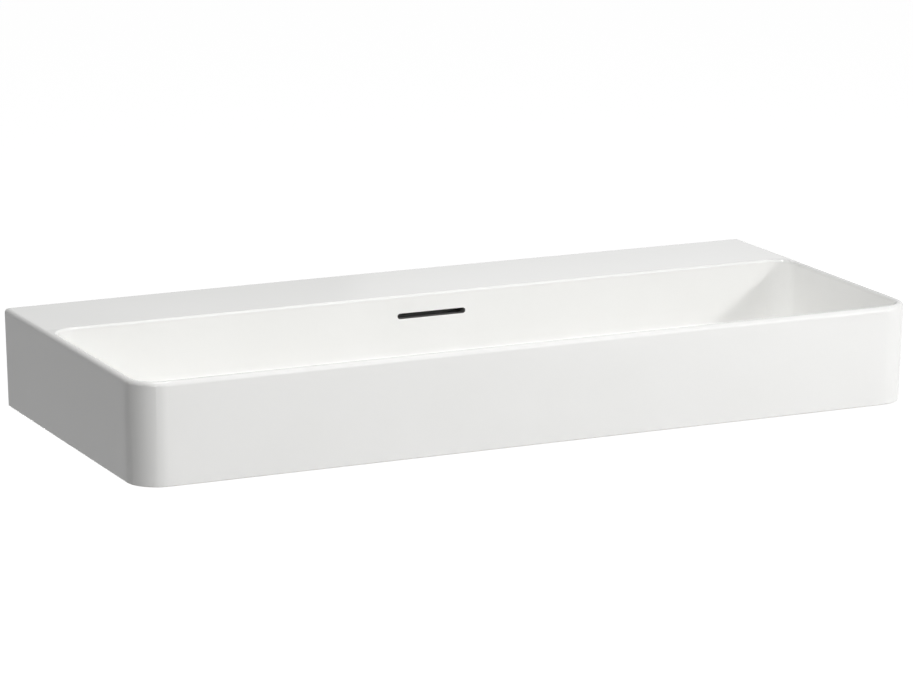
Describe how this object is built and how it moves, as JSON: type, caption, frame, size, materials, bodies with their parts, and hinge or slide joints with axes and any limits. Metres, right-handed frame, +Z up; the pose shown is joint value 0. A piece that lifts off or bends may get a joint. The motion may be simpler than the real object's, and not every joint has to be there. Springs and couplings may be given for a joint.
{
  "type": "washbasin",
  "caption": "Rectangular wall-hung washbasin with a thin rim, a flat rear deck, an overflow slot and a push-open waste.",
  "frame": {"origin": "on the wall plane, midway between the two wall-fixing holes", "axes": "+Y into the wall, +Z up, +X to the right as seen from the front; the front of the basin faces -Y"},
  "size_m": [0.9498, 0.4199, 0.149],
  "materials": {
    "ceramic": "white glaze, high gloss",
    "chromed_brass": "polished chrome plate on brass",
    "bare_brass": "machined brass",
    "black_rubber": "matt black rubber",
    "seal_rubber": "smooth dark rubber",
    "white_plastic": "white polyethylene",
    "grey_plastic": "grey acetal",
    "cam_plastic": "natural acetal",
    "steel": "stainless steel"
  },
  "bodies": {
    "basin": {"basin_body": "ceramic", "fixing_bushes": "white_plastic", "waste_body": "chromed_brass", "flange_gasket": "black_rubber", "taper_gasket": "black_rubber", "slip_washer": "white_plastic", "backnut": "bare_brass", "cartridge_housing": "grey_plastic", "rod_wiper": "black_rubber", "cam_sleeve": "cam_plastic", "cartridge_plug": "grey_plastic", "return_spring": "steel"},
    "cover": {"cover_cap": "chromed_brass", "cover_carrier": "grey_plastic", "cover_seal": "seal_rubber", "cover_stud": "steel", "lock_nut": "steel", "plunger": "grey_plastic", "spring_washer": "steel"},
    "index_ring": {"index_ring": "cam_plastic"}
  },
  "joints": [
    {"name": "cover_slide", "type": "slide", "parent": "basin", "child": "cover", "axis": [0, 0, 1], "range_m": [-0.008, 0], "stiffness_N_per_m": 600, "springref_m": 0.008, "deforming": ["return_spring"]},
    {"name": "index_turn", "type": "hinge", "parent": "cover", "child": "index_ring", "pos_m": [0, -0.24, -0.054], "axis": [0, 0, 1], "range_deg": [0, 45]}
  ],
  "couplings": [
    {"joint": "index_turn", "follows": "cover_slide", "rad_per_m": -98.1}
  ]
}
